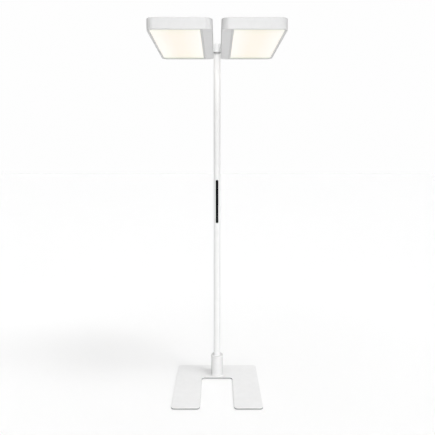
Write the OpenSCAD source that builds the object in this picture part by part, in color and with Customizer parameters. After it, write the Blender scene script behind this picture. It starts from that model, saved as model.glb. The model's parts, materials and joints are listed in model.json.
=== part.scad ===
// Office floor lamp: two flat light heads, side by side, on a round pole with
// a sleeved foot on a U-shaped base plate.  Millimetres.  The pole's axis is
// the Z axis, the floor is z = 0, and the front is -Y: there the base plate is
// open and the control strip faces.

/* [Overall] */
// Height from the floor to the top of the heads
total_h = 1950; // [1750:10:2100]

/* [Heads] */
// Width of one head across its two long walls
head_w = 306; // [280:2:340]
// Length of a head from front to back
head_l = 628; // [600:4:700]
// How far the heads reach behind the pole's axis
head_back = 145; // [130:5:180]
// Thickness of a head
head_t = 53; // [53:1:60]
// Radius of a head's upright corners
head_r = 34; // [30:1:42]
// Wall thickness of a head's housing
wall = 3; // [2.5:0.5:3]
// Radius of the rounding round a head's top edge
head_edge_r = 2; // [1:0.5:2]
// Gap between the two heads, which the hub fills
head_gap = 42; // [40:1:46]
// Width of the plain band beside the light window
band_w = 43; // [38:1:46]
// Width of the frame round the light window, inside the housing's wall
bezel_w = 9; // [7:1:10]

/* [Top window] */
// Distance from the long walls to the upward window
top_margin_x = 66; // [60:1:80]
// Distance from the end walls to the upward window
top_margin_y = 44; // [40:1:60]
// Corner radius of the upward window
top_r = 14; // [8:1:20]

/* [Hub and swivel] */
// Gap between the pole's top and the hub
shadow_gap = 13; // [5:0.5:15]
// Height of the hub's underside above the heads' underside
hub_rise = 6; // [1:0.5:8]
// Radius of the swivel pin where it turns in the bushes
pin_r = 10; // [9.5:0.5:10]
// Radial running clearance of the pin in its bushes
run_gap = 0.05; // [0.03:0.01:0.08]

/* [Pole] */
// Outer diameter of the pole
pole_d = 38; // [36:1:40]
// Wall thickness of the pole
pole_wall = 2; // [1.5:0.5:2.5]

/* [Control strip] */
// Width of the touch strip on the pole's front
strip_w = 15; // [12:1:17]
// Length of the touch strip
strip_l = 252; // [200:1:280]
// Height of the strip's lower end above the floor
strip_z = 929; // [850:1:1000]

/* [Foot sleeve] */
// Outer diameter of the sleeve round the pole's foot
sleeve_d = 70; // [68:1:76]
// Height of the sleeve above the base plate
sleeve_h = 120; // [110:1:140]
// Chamfer round the sleeve's upper rim
sleeve_chamfer = 1.5; // [1:0.5:3]
// Diameter of the collar where it leaves the sleeve
collar_d = 49; // [47:1:50]
// Height of the collar's flare above the sleeve
collar_h = 12; // [8:1:16]

/* [Base] */
// Width of the base plate
base_w = 482; // [440:2:520]
// Depth of the base plate
base_l = 468; // [440:2:500]
// How far the base plate reaches behind the pole's axis
base_back = 105; // [100:1:120]
// Thickness of the steel base plate
base_t = 8; // [7:1:10]
// Thickness of the mat under the base plate
mat_t = 2; // [1.5:0.5:3]
// Width of the slot between the two feet
slot_w = 180; // [160:2:200]
// Distance from the pole's axis to the slot's closed end
slot_y = 47.5; // [46:0.5:56]
// Corner radius of the base plate, outside and in the slot
base_r = 18; // [12:1:20]
// Radius of the rounding round the base plate's top edge
base_edge_r = 1; // [0.5:0.5:2]

/* [Hidden] */
$fn = 64;

// Small overlap that lets a cut run clear through a face
eps = 0.5;
// Small overlap that joins two shapes of one piece
weld = 0.1;
// Clearance between two fitted round pieces of one assembly
fit = 0.05;

// Colours
WHITE = [0.93, 0.93, 0.93];
BAND_GREY = [0.84, 0.84, 0.84];
BEZEL_GREY = [0.74, 0.74, 0.73];
OPAL = [1.0, 0.97, 0.90];
CLEAR = [0.86, 0.92, 0.94];
BLACK = [0.03, 0.03, 0.035];
STEEL = [0.62, 0.63, 0.65];
ALU = [0.78, 0.79, 0.80];
BOARD = [0.95, 0.95, 0.92];
LED = [0.98, 0.86, 0.35];
RUBBER = [0.12, 0.12, 0.12];
NYLON = [0.88, 0.87, 0.82];

// Base, from the floor up
plate_z = mat_t;
plate_top = mat_t + base_t;
mat_inset = 4;

// Foot: the socket that holds the pole, and the sleeve that covers it
pole_r = pole_d / 2;
pole_in_r = pole_r - pole_wall;
socket_r = 25;
socket_h = sleeve_h - 12;
socket_flange_r = 30;
socket_flange_t = 10;
socket_seat_z = plate_top + 24;
socket_bore_r = 14;
sleeve_r = sleeve_d / 2;
sleeve_wall = 3;
sleeve_lid = 4;
sleeve_top = plate_top + sleeve_h;
collar_r = collar_d / 2;
collar_lip = 1;
screw_circle_r = 24;
m6_r = 3;
m6_head_r = 6;
m6_l = base_t + socket_flange_t - 2;
csk_gap = 0.3;
csk_sunk = 0.2;
clamp_r = 4;
clamp_z = plate_top + socket_h - 16;
clamp_angles = [45, 135];
clamp_drive = 3;
collar_edge = 0.8;

// Cord gland on the sleeve's back
gland_z = plate_top + 16;
gland_flange_r = 9;
gland_flange_t = 3;
gland_l = 13;
gland_root_r = 7.8;
gland_tip_r = 6;
gland_neck_r = 6;
gland_neck_l = 7;
gland_bore_r = 4;
gland_bore_l = 12;
cable_r = 3.5;
cable_slot = 10;

// Control strip: its gap and height over the tube, and what carries it inside
strip_gap = 0.15;
strip_proud = 0.2;
carrier_lap = 8;
carrier_wall = 2;
carrier_w = strip_w + 3;
carrier_depth = 8;
carrier_play = 1;
board_gap = 0.5;
pad_w = 8;
pad_t = 1;
pads = 6;

// Heads, from the underside up
head_bot = total_h - head_t;
in_x = head_gap / 2;
out_x = in_x + head_w;
back_y = head_back;
front_y = head_back - head_l;
lip_t = 1;
shell_z = head_bot + lip_t;
bezel_t = 5;
diffuser_t = 2.5;
diffuser_gap = 0.2;
diffuser_z = head_bot + bezel_t;
guide_t = 4;
guide_z = diffuser_z + diffuser_t;
foil_t = 1;
foil_z = guide_z + guide_t;
tray_t = 2.5;
tray_rim = 2;
tray_z = foil_z + foil_t;
tray_top = tray_z + tray_t;
panel_t = 4;
panel_z = total_h - panel_t;
up_cover_t = 2;
up_cover_z = total_h - up_cover_t;
up_lip = 6;
up_gap = 0.3;

// Heads, from the inner wall out
band_x = in_x + wall;
rib_x = band_x + band_w;
rib_t = 2;
bezel_bar = bezel_w + wall;
window_x0 = rib_x + bezel_bar;
window_x1 = out_x - wall - bezel_w;
window_y0 = front_y + wall + bezel_w;
window_y1 = back_y - wall - bezel_w;
window_r = head_r - wall - bezel_w;
window_in_r = 3;
band_gap = 0.2;
tray_x0 = rib_x + rib_t;
tray_x1 = out_x - wall;
tray_y0 = front_y + wall;
tray_y1 = back_y - wall;
tray_r = head_r - wall;
nib_r = 1;

// Light-emitting diodes
strip_t = 1.2;
led_w = 3;
led_t = 0.8;
led_rise = 0.5;
edge_leds = 40;
edge_margin = 36;
edge_gap = 0.3;
up_rows = 3;
up_cols = 18;
up_led = 3.5;
board_t = 1.6;
board_in_x = 6;
board_in_y = 10;

// Screws inside a head
m3_r = 1.5;
m3_head_r = 2.9;
m3_l = 10;
m3_gap = 0.2;
m3_sunk = 0.1;
boss_r = 4;
boss_inset = 14;
boss_ys = [front_y + 60, (front_y + back_y) / 2, back_y - 60];

// Driver in the channel above the band
driver_w = 27;
driver_h = 22;
driver_l = 290;
driver_z = head_bot + 8;
driver_y1 = -130;
driver_y0 = driver_y1 - driver_l;
driver_chamfer = 3;
driver_ear = 12;
driver_ear_t = 2;
driver_ear_in = 6;

// Band cover and the spring clips that hold it in slots through the rib
cover_t = 2;
cover_z = head_bot + 0.5;
clip_w = 24;
clip_t = 1.6;
clip_top = driver_z - 0.6;
clip_nib = 1.2;
clip_nib_z = clip_top - 2;
clip_side = 1;
clip_play = 0.2;
clip_ys = [front_y + 82, front_y + 262, back_y - 58];

// Swivel: pin, bushes, washers, nut and stop, from the pole's top up
hub_bot = head_bot + hub_rise;
pole_top = hub_bot - shadow_gap;
plug_l = 42;
neck_r = 15;
hub_r = in_x;
washer_r = hub_r - 0.6;
washer_t = 1.5;
hub_pad_y = 16;
hub_pad_z = hub_bot + 2;
bush_r = pin_r + 2;
bush_l = 12;
pocket_z = head_bot + 35;
pocket_r = hub_r - 4;
friction_r = pin_r + 4.4;
friction_t = 1.2;
stop_z = pocket_z + friction_t;
stop_t = 2;
tab_r = pocket_r - 0.6;
tab_w = 6;
nut_z = stop_z + stop_t;
nut_t = 4.8;
nut_r = pin_r + 3.8;
pin_top = nut_z + nut_t + 0.5;
pin_bore_r = 6;
cap_t = 3;
cap_z = total_h - cap_t;
stop_screw_r = 2;
stop_screw_in = tab_r - 1.4;
stop_screw_sunk = 0.8;
cap_lip = 1.2;
cap_lip_w = 2;
lead_r = 1.8;
lead_z = pin_top + lead_r + 1.2;
lead_hole = 2.2;

// Brackets and bolts that hang the heads on the hub
m5_r = 2.5;
m5_head_r = 4.2;
m5_head_t = 4;
bolt_depth = 8;
bolt_play = 0.25;
bolt_hex = 2.5;
bolt_ys = [-10, 10];
bolt_zs = [head_bot + 12, head_bot + 28];
bracket_t = 3;
bracket_y = 28;
bracket_z0 = head_bot + 4;
bracket_z1 = head_bot + 40;

// Cable run inside the pole and the swivel
cable_socket_r = 8;
cable_socket_l = 28;
cable_top = pole_top - plug_l - 60;
plug_r = 7;
plug_h = 20;
plug_z = cable_top + cable_socket_l;
core_r = 3;
lead_x = band_x + band_w / 2;
lead_y = driver_y1 + 10;
driver_lead_z = driver_z + 10;

// ---------------------------------------------------------------- helpers

// Plate outline with its own radius at each corner, in the order
// [low x low y, high x low y, high x high y, low x high y]
module corner_outline(x0, x1, y0, y1, r) {
    centres = [
        [x0 + r[0], y0 + r[0]],
        [x1 - r[1], y0 + r[1]],
        [x1 - r[2], y1 - r[2]],
        [x0 + r[3], y1 - r[3]]
    ];
    polygon([
        [x0 + r[0], y0], [x1 - r[1], y0],
        [x1, y0 + r[1]], [x1, y1 - r[2]],
        [x1 - r[2], y1], [x0 + r[3], y1],
        [x0, y1 - r[3]], [x0, y0 + r[0]]
    ]);
    for (i = [0:3]) {
        translate(centres[i]) circle(r[i]);
    }
}

// Block between two corners given as [x, y, z]
module block(low, high) {
    translate(low) cube(high - low);
}

// Rod along X, and rod along Y, between two places
module rod_x(r, x0, x1, y, z) {
    translate([x0, y, z]) rotate([0, 90, 0]) cylinder(r = r, h = x1 - x0);
}

module rod_y(r, y0, y1, x, z) {
    translate([x, y1, z]) rotate([90, 0, 0]) cylinder(r = r, h = y1 - y0);
}

// Flat ring round the Z axis
module ring(r_in, r_out, z, t) {
    translate([0, 0, z]) difference() {
        cylinder(r = r_out, h = t);
        translate([0, 0, -eps]) cylinder(r = r_in, h = t + 2 * eps);
    }
}

// The two heads are mirror images of each other
module left_half() {
    mirror([1, 0, 0]) children();
}

// What is drawn for the right side, put on the side that is asked for
module on_side(side) {
    if (side > 0) {
        children();
    } else {
        left_half() children();
    }
}

// Slab with upright corners of radius r and an upper edge rounded by edge: two
// crossed bars with rounded shoulders, and a turned puck at each corner
module rounded_slab(x0, x1, y0, y1, z0, z1, r, edge) {
    translate([0, y1 - r, 0]) rotate([90, 0, 0])
        linear_extrude(height = y1 - y0 - 2 * r) shoulder_profile(x0, x1, z0, z1, edge);
    rounded_bar(x0 + r, x1 - r, y0, y1, z0, z1, edge);
    for (x = [x0 + r, x1 - r], y = [y0 + r, y1 - r]) {
        translate([x, y, 0]) rounded_puck(r, z0, z1, edge);
    }
}

// Bar along X with its two long upper edges rounded
module rounded_bar(x0, x1, y0, y1, z0, z1, edge) {
    translate([x0, 0, 0]) rotate([90, 0, 90])
        linear_extrude(height = x1 - x0) shoulder_profile(y0, y1, z0, z1, edge);
}

// Disc with its upper edge rounded
module rounded_puck(r, z0, z1, edge) {
    rotate_extrude() intersection() {
        shoulder_profile(-r, r, z0, z1, edge);
        translate([0, z0]) square([r, z1 - z0]);
    }
}

// Upright section with its two upper corners rounded
module shoulder_profile(a0, a1, z0, z1, edge) {
    translate([a0, z0]) square([a1 - a0, z1 - edge - z0]);
    translate([a0 + edge, z0]) square([a1 - a0 - 2 * edge, z1 - z0]);
    for (a = [a0 + edge, a1 - edge]) {
        translate([a, z1 - edge]) circle(edge);
    }
}

// ------------------------------------------------------------------- base

// U-shaped outline of the base, drawn in by an inset
module base_outline(inset) {
    x1 = base_w / 2 - inset;
    y0 = base_back - base_l + inset;
    y1 = base_back - inset;
    slot_x = slot_w / 2 + inset;
    slot_end = -slot_y + inset;
    r = base_r - inset;
    fillet = base_r + inset;
    feet_r = [r, r, r, r];
    corner_outline(slot_x, x1, y0, y1, feet_r);
    corner_outline(-x1, -slot_x, y0, y1, feet_r);
    translate([-slot_x - r, slot_end]) square([2 * (slot_x + r), y1 - slot_end]);
    for (side = [-1, 1]) {
        difference() {
            translate([side * slot_x - (side > 0 ? fillet : 0), slot_end - fillet])
                square([fillet, fillet]);
            translate([side * (slot_x - fillet), slot_end - fillet]) circle(fillet);
        }
    }
}

module socket_screw_places() {
    for (a = [45:90:315]) {
        rotate(a) translate([screw_circle_r, 0, 0]) children();
    }
}

// Countersunk screw, or the hole for one with a clearance round it
module countersunk(r, head_r, z, l, gap = 0) {
    translate([0, 0, z]) cylinder(r = r + gap, h = l);
    translate([0, 0, z]) cylinder(r1 = head_r + gap, r2 = r + gap, h = head_r - r);
}

// One inner corner of the slot, filled out to a radius, with its upper edge
// rounded like the rest
module slot_corner(z0, z1, edge) {
    x = slot_w / 2;
    difference() {
        block([x - base_r, -slot_y - base_r, z0], [x + edge, -slot_y + edge, z1]);
        translate([x - base_r, -slot_y - base_r, 0]) rotate_extrude() difference() {
            translate([0, z0 - eps]) square([base_r + edge, z1 - z0 + 2 * eps]);
            translate([base_r, z0 - 2 * eps])
                square([edge + eps, z1 - edge - z0 + 2 * eps]);
            translate([base_r + edge, z1 - edge]) circle(edge);
        }
    }
}

module floor_mat() {
    color(RUBBER)
        linear_extrude(height = mat_t) base_outline(mat_inset);
}

// Two feet, and the bar that joins them behind the slot
module base_plate() {
    z0 = plate_z;
    z1 = plate_top;
    edge = base_edge_r;
    bar_x = slot_w / 2 + base_r + edge;
    color(WHITE) difference() {
        union() {
            for (side = [-1, 1]) {
                on_side(side) {
                    rounded_slab(slot_w / 2, base_w / 2, base_back - base_l, base_back,
                        z0, z1, base_r, edge);
                    slot_corner(z0, z1, edge);
                }
            }
            rounded_bar(-bar_x, bar_x, -slot_y, base_back, z0, z1, edge);
        }
        socket_screw_places() {
            countersunk(m6_r, m6_head_r, z0, base_t + eps, csk_gap);
            translate([0, 0, z0 - eps]) cylinder(r = m6_head_r + csk_gap, h = eps);
        }
    }
}

module pole_socket() {
    half = cable_slot / 2;
    color(STEEL) difference() {
        union() {
            translate([0, 0, plate_top])
                cylinder(r = socket_flange_r, h = socket_flange_t);
            translate([0, 0, plate_top]) cylinder(r = socket_r, h = socket_h);
        }
        translate([0, 0, socket_seat_z])
            cylinder(r = pole_r + fit, h = sleeve_h);
        translate([0, 0, plate_top - eps])
            cylinder(r = socket_bore_r, h = sleeve_h);
        block([-half, 0, gland_z - half], [half, socket_r + eps, gland_z + half]);
        translate([0, 0, plate_top]) socket_screw_places()
            translate([0, 0, -eps]) cylinder(r = m6_r + fit, h = socket_flange_t);
        for (a = clamp_angles) {
            rotate(a) rod_x(clamp_r + fit, pole_r, socket_r + eps, 0, clamp_z);
        }
    }
}

module socket_screws() {
    color(STEEL) socket_screw_places()
        countersunk(m6_r, m6_head_r, plate_z + csk_sunk, m6_l);
}

module clamp_screws() {
    color(STEEL) for (a = clamp_angles) {
        rotate(a) difference() {
            rod_x(clamp_r, pole_r + fit, socket_r - eps, 0, clamp_z);
            translate([socket_r - clamp_drive, 0, clamp_z]) rotate([0, 90, 0])
                cylinder(r = clamp_r / 2, h = clamp_drive, $fn = 6);
        }
    }
}

// ------------------------------------------------------------------- foot

module sleeve_cover() {
    z0 = plate_top;
    z1 = sleeve_top;
    c = sleeve_chamfer;
    in_r = sleeve_r - sleeve_wall;
    lid_r = collar_r + fit;
    color(WHITE) difference() {
        rotate_extrude() polygon([
            [in_r, z0], [sleeve_r, z0], [sleeve_r, z1 - c], [sleeve_r - c, z1],
            [lid_r, z1], [lid_r, z1 - sleeve_lid], [in_r, z1 - sleeve_lid]
        ]);
        rod_y(gland_neck_r + fit, 0, sleeve_r + eps, 0, gland_z);
    }
}

// Collar that centres the sleeve on the pole and flares down to it in a cove
module pole_collar() {
    z0 = plate_top + socket_h;
    z1 = sleeve_top + collar_lip;
    z2 = sleeve_top + collar_h;
    in_r = pole_r + fit;
    top_r = pole_r + collar_edge;
    steps = 8;
    cove = [
        for (i = [0:steps])
            let (a = 90 * i / steps)
                [
                    collar_r - (collar_r - top_r) * sin(a),
                    z2 - (z2 - z1) * cos(a)
                ]
    ];
    color(WHITE) rotate_extrude()
        polygon(concat([[in_r, z0], [collar_r, z0]], cove, [[in_r, z2]]));
}

// Gland with a closed membrane end, which the lead is pushed through
module cord_gland() {
    y0 = sleeve_r - 2;
    y1 = sleeve_r + gland_flange_t;
    y2 = sleeve_r + gland_l;
    color(RUBBER) difference() {
        union() {
            difference() {
                union() {
                    rod_y(gland_flange_r, y0, y1, 0, gland_z);
                    translate([0, y2, gland_z]) rotate([90, 0, 0])
                        cylinder(r1 = gland_tip_r, r2 = gland_root_r, h = y2 - y0);
                }
                translate([0, 0, plate_top]) cylinder(r = sleeve_r, h = sleeve_h);
            }
            rod_y(gland_neck_r, sleeve_r - gland_neck_l, sleeve_r + 1, 0, gland_z);
        }
        rod_y(gland_bore_r, y2 - gland_bore_l, y2 + eps, 0, gland_z);
    }
}

// ------------------------------------------------------------------- pole

// Upright stadium that cuts or makes the control strip, drawn towards -Y
module strip_prism(w, l, depth) {
    mid = strip_z + strip_l / 2;
    half = (l - w) / 2;
    translate([0, -pole_r + depth, mid]) rotate([90, 0, 0])
        linear_extrude(height = depth + eps) {
            square([w, 2 * half], center = true);
            translate([0, half]) circle(w / 2);
            translate([0, -half]) circle(w / 2);
        }
}

module pole_tube() {
    color(WHITE) difference() {
        translate([0, 0, socket_seat_z])
            cylinder(r = pole_r, h = pole_top - socket_seat_z);
        translate([0, 0, socket_seat_z - eps])
            cylinder(r = pole_in_r, h = total_h);
        strip_prism(strip_w + 2 * strip_gap, strip_l + 2 * strip_gap, pole_r / 2);
    }
}

module control_strip() {
    color(BLACK) intersection() {
        difference() {
            cylinder(r = pole_r + strip_proud, h = total_h);
            translate([0, 0, -eps]) cylinder(r = pole_in_r - 1, h = total_h + 1);
        }
        strip_prism(strip_w, strip_l, pole_r / 2);
    }
}

// Holder behind the strip: it follows the tube's inside and frames the board
module control_carrier() {
    z0 = strip_z - carrier_lap;
    z1 = strip_z + strip_l + carrier_lap;
    half = carrier_w / 2;
    inner = half - carrier_wall;
    y_in = -pole_in_r + carrier_depth;
    color(BLACK) difference() {
        intersection() {
            translate([0, 0, z0]) cylinder(r = pole_in_r - fit, h = z1 - z0);
            block([-half, -pole_r, z0], [half, y_in, z1]);
        }
        block([-inner, -pole_r, strip_z - carrier_play],
            [inner, y_in - carrier_wall, strip_z + strip_l + carrier_play]);
        strip_prism(strip_w + strip_gap, strip_l + strip_gap, pole_r / 2);
    }
}

module control_board() {
    half = carrier_w / 2 - carrier_wall - board_gap;
    y1 = -pole_in_r + carrier_depth - carrier_wall;
    y0 = y1 - board_t;
    pitch = (strip_l - strip_w) / pads;
    color("darkgreen") {
        block([-half, y0, strip_z], [half, y1, strip_z + strip_l]);
        for (i = [0:pads - 1]) {
            z = strip_z + strip_w / 2 + (i + 0.5) * pitch;
            block([-pad_w / 2, y0 - pad_t, z - pad_w / 2], [pad_w / 2, y0, z + pad_w / 2]);
        }
    }
}

module pole_cable() {
    color(RUBBER) {
        rod_y(cable_r, 0, sleeve_r - gland_neck_l, 0, gland_z);
        translate([0, 0, gland_z]) sphere(cable_r);
        translate([0, 0, gland_z]) cylinder(r = cable_r, h = cable_top - gland_z);
    }
}

module cable_socket() {
    color(BLACK) translate([0, 0, cable_top])
        cylinder(r = cable_socket_r, h = cable_socket_l);
}

// ----------------------------------------------------------------- swivel

// Turned pin: a plug in the pole, the neck in the gap under the hub, and the journal
module swivel_pin() {
    neck_top = hub_bot - washer_t;
    color(STEEL) difference() {
        union() {
            translate([0, 0, pole_top - plug_l])
                cylinder(r = pole_in_r - fit, h = plug_l);
            translate([0, 0, pole_top]) cylinder(r = neck_r, h = neck_top - pole_top);
            translate([0, 0, pole_top]) cylinder(r = pin_r, h = pin_top - pole_top);
        }
        translate([0, 0, pole_top - plug_l - eps])
            cylinder(r = pin_bore_r, h = pin_top);
    }
}

// Dark washer that the hub turns on, as wide as the hub's underside
module thrust_washer() {
    color(BLACK) ring(pin_r + fit, washer_r, hub_bot - washer_t, washer_t);
}

module friction_washer() {
    color(STEEL) ring(pin_r + fit, friction_r, pocket_z, friction_t);
}

// Washer with the tab that the stop screw meets at each end of the swing
module stop_washer() {
    color(STEEL) {
        ring(pin_r + fit, friction_r, stop_z, stop_t);
        intersection() {
            block([-tab_w / 2, -tab_r, stop_z], [tab_w / 2, -pin_r - 2, stop_z + stop_t]);
            translate([0, 0, stop_z]) cylinder(r = tab_r, h = stop_t);
        }
    }
}

module swivel_nut() {
    color(STEEL) translate([0, 0, nut_z]) difference() {
        cylinder(r = nut_r, h = nut_t, $fn = 6);
        translate([0, 0, -eps]) cylinder(r = pin_r + fit, h = nut_t + 2 * eps);
    }
}

module bush(z) {
    ring(pin_r + run_gap, bush_r, z, bush_l);
}

module lower_bush() {
    color(NYLON) bush(hub_bot);
}

module upper_bush() {
    color(NYLON) bush(pocket_z - bush_l);
}

module bolt_places() {
    for (side = [-1, 1], y = bolt_ys, z = bolt_zs) {
        translate([0, y, z]) on_side(side) children();
    }
}

// Hub between the heads: a cylinder with a flat pad on each side for a head
module hub() {
    color(WHITE) difference() {
        union() {
            translate([0, 0, hub_bot]) cylinder(r = hub_r, h = cap_z - hub_bot);
            block([-in_x, -hub_pad_y, hub_pad_z],
                [in_x, hub_pad_y, cap_z - 1]);
        }
        translate([0, 0, hub_bot - eps]) cylinder(r = bush_r + fit, h = head_t);
        translate([0, 0, pocket_z]) cylinder(r = pocket_r, h = head_t);
        bolt_places() rod_x(m5_r + fit, in_x - bolt_depth, in_x + eps, 0, 0);
        rod_x(lead_hole, -in_x - eps, in_x + eps, 0, lead_z);
        rod_y(stop_screw_r + fit, 0, hub_r + eps, 0, stop_z + stop_t / 2);
    }
}

module stop_screw() {
    color(STEEL)
        rod_y(stop_screw_r, stop_screw_in, hub_r - stop_screw_sunk, 0, stop_z + stop_t / 2);
}

module hub_cap() {
    color(WHITE) {
        rounded_puck(hub_r, cap_z, total_h, head_edge_r);
        ring(pocket_r - cap_lip_w, pocket_r - fit, cap_z - cap_lip, cap_lip + weld);
    }
}

module head_bolts() {
    seat = in_x + wall + bracket_t;
    color(STEEL) bolt_places() difference() {
        union() {
            rod_x(m5_r, in_x - bolt_depth + 1, seat + 1, 0, 0);
            rod_x(m5_head_r, seat, seat + m5_head_t, 0, 0);
        }
        translate([seat + m5_head_t - bolt_hex, 0, 0]) rotate([0, 90, 0])
            cylinder(r = m5_r, h = m5_head_t, $fn = 6);
    }
}

// Leads from the plug in the pole, up the pin and out to the two drivers
module head_harness() {
    color(BLACK) {
        translate([0, 0, plug_z]) cylinder(r = plug_r, h = plug_h);
        translate([0, 0, plug_z]) cylinder(r = core_r, h = lead_z - plug_z);
        translate([0, 0, lead_z]) sphere(core_r);
        rod_x(lead_r, -lead_x, lead_x, 0, lead_z);
        for (side = [-1, 1]) {
            on_side(side) {
                translate([lead_x, 0, lead_z]) sphere(lead_r);
                rod_y(lead_r, lead_y, 0, lead_x, lead_z);
                translate([lead_x, lead_y, lead_z]) sphere(lead_r);
                translate([lead_x, lead_y, driver_lead_z])
                    cylinder(r = lead_r, h = lead_z - driver_lead_z);
                translate([lead_x, lead_y, driver_lead_z]) sphere(lead_r);
                rod_y(lead_r, driver_y1, lead_y, lead_x, driver_lead_z);
            }
        }
    }
}

// ------------------------------------------------- one head, the right one

module screw_places() {
    for (x = [tray_x0 + boss_inset, tray_x1 - boss_inset], y = boss_ys) {
        translate([x, y, 0]) children();
    }
}

module up_outline(lap) {
    r = top_r + lap;
    corner_outline(
        in_x + top_margin_x - lap, out_x - top_margin_x + lap,
        front_y + top_margin_y - lap, back_y - top_margin_y + lap,
        [r, r, r, r]
    );
}

// Outline of the room inside the four walls, drawn in by a gap
module room_outline(gap) {
    r = head_r - wall - gap;
    corner_outline(in_x + wall + gap, out_x - wall - gap,
        front_y + wall + gap, back_y - wall - gap, [r, r, r, r]);
}

// Housing: four walls and the top panel, with the rib that parts off the
// driver's channel, the bosses for the tray and the rebated upward window
module head_shell() {
    color(WHITE) difference() {
        union() {
            difference() {
                rounded_slab(in_x, out_x, front_y, back_y, shell_z, total_h,
                    head_r, head_edge_r);
                translate([0, 0, shell_z - eps])
                    linear_extrude(height = panel_z - shell_z + eps) room_outline(0);
            }
            block([rib_x, front_y + wall - weld, diffuser_z],
                [rib_x + rib_t, back_y - wall + weld, panel_z + weld]);
            screw_places() translate([0, 0, tray_top])
                cylinder(r = boss_r, h = panel_z - tray_top + weld);
        }
        translate([0, 0, panel_z - eps]) linear_extrude(height = panel_t + 2 * eps)
            up_outline(0);
        translate([0, 0, up_cover_z]) linear_extrude(height = up_cover_t + eps)
            up_outline(up_lip);
        screw_places() translate([0, 0, tray_top - eps])
            cylinder(r = m3_r + fit, h = m3_l + eps);
        for (y = bolt_ys, z = bolt_zs) {
            rod_x(m5_r + bolt_play, in_x - eps, in_x + wall + eps, y, z);
        }
        rod_x(lead_hole, in_x - eps, in_x + wall + eps, 0, lead_z);
        for (y = clip_ys) {
            block([rib_x - eps, y - clip_w / 2 - clip_side, clip_nib_z - clip_play],
                [rib_x + rib_t + eps, y + clip_w / 2 + clip_side, clip_top + clip_play]);
        }
    }
}

// Frame that closes the housing from below: a thin lip under the walls, and a
// plug between them with openings for the light window and the band cover
module head_bezel() {
    color(BEZEL_GREY) difference() {
        union() {
            translate([0, 0, head_bot]) linear_extrude(height = lip_t)
                corner_outline(in_x, out_x, front_y, back_y,
                    [head_r, head_r, head_r, head_r]);
            translate([0, 0, head_bot]) linear_extrude(height = bezel_t)
                room_outline(fit);
        }
        translate([0, 0, head_bot - eps]) linear_extrude(height = bezel_t + 2 * eps) {
            corner_outline(window_x0, window_x1, window_y0, window_y1,
                [window_in_r, window_r, window_r, window_in_r]);
            band_outline(0);
        }
    }
}

// Outline of the band between the inner wall and the rib, drawn in by a gap
module band_outline(gap) {
    intersection() {
        room_outline(gap);
        translate([in_x, front_y]) square([rib_x - gap - in_x, head_l]);
    }
}

// Plate outline inside the housing, between the rib and the outer walls
module inner_plate(z, t, gap) {
    r = tray_r - gap;
    translate([0, 0, z]) linear_extrude(height = t)
        corner_outline(tray_x0 + gap, tray_x1 - gap, tray_y0 + gap, tray_y1 - gap,
            [nib_r, r, r, nib_r]);
}

module head_diffuser() {
    color(OPAL) inner_plate(diffuser_z, diffuser_t, tray_rim + diffuser_gap);
}

module head_light_guide() {
    gap = tray_rim + strip_t + led_t + edge_gap;
    color(CLEAR) inner_plate(guide_z, guide_t, gap);
}

module head_reflector() {
    gap = tray_rim + strip_t + led_t + edge_gap;
    color(BOARD) inner_plate(foil_z, foil_t, gap);
}

// Two strips of diodes that shine into the guide's long edges
module head_led_strips() {
    y0 = tray_y0 + edge_margin;
    y1 = tray_y1 - edge_margin;
    x0 = tray_x0 + tray_rim;
    x1 = tray_x1 - tray_rim;
    pitch = (y1 - y0) / edge_leds;
    z0 = guide_z;
    z1 = tray_z;
    led_z = z0 + led_rise;
    color(BOARD) {
        block([x0, y0, z0], [x0 + strip_t, y1, z1]);
        block([x1 - strip_t, y0, z0], [x1, y1, z1]);
    }
    color(LED) for (i = [0:edge_leds - 1]) {
        y = y0 + (i + 0.5) * pitch;
        block([x0 + strip_t, y - led_w / 2, led_z],
            [x0 + strip_t + led_t, y + led_w / 2, led_z + led_w]);
        block([x1 - strip_t - led_t, y - led_w / 2, led_z],
            [x1 - strip_t, y + led_w / 2, led_z + led_w]);
    }
}

// Metal tray that carries the light guide below and the upward board above
module head_tray() {
    color(ALU) difference() {
        inner_plate(diffuser_z, tray_top - diffuser_z, 0);
        translate([0, 0, diffuser_z - eps])
            inner_plate(0, tray_z - diffuser_z + eps, tray_rim);
        screw_places() countersunk(m3_r, m3_head_r, tray_z, tray_t + eps, m3_gap);
    }
}

module head_screws() {
    color(STEEL) screw_places()
        countersunk(m3_r, m3_head_r, tray_z + m3_sunk, tray_t + m3_l - 1);
}

module head_up_board() {
    x0 = in_x + top_margin_x + board_in_x;
    x1 = out_x - top_margin_x - board_in_x;
    y0 = front_y + top_margin_y + board_in_y;
    y1 = back_y - top_margin_y - board_in_y;
    px = (x1 - x0) / up_rows;
    py = (y1 - y0) / up_cols;
    color(BOARD) block([x0, y0, tray_top], [x1, y1, tray_top + board_t]);
    color(LED) for (i = [0:up_rows - 1], j = [0:up_cols - 1]) {
        translate([x0 + (i + 0.5) * px, y0 + (j + 0.5) * py,
            tray_top + board_t + led_t / 2])
            cube([up_led, up_led, led_t], center = true);
    }
}

module head_up_cover() {
    color(OPAL) translate([0, 0, up_cover_z]) linear_extrude(height = up_cover_t)
        up_outline(up_lip - up_gap);
}

// Plain cover of the driver's channel, with hooked clips that catch in the rib
module head_band_cover() {
    x1 = rib_x - band_gap;
    z0 = cover_z + cover_t - weld;
    clip = [
        [x1 - clip_t, z0], [x1, z0], [x1, clip_nib_z], [x1 + clip_nib, clip_nib_z],
        [x1, clip_top], [x1 - clip_t, clip_top]
    ];
    color(BAND_GREY) {
        translate([0, 0, cover_z]) linear_extrude(height = cover_t)
            band_outline(band_gap);
        for (y = clip_ys) {
            translate([0, y + clip_w / 2, 0]) rotate([90, 0, 0])
                linear_extrude(height = clip_w) polygon(clip);
        }
    }
}

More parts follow.
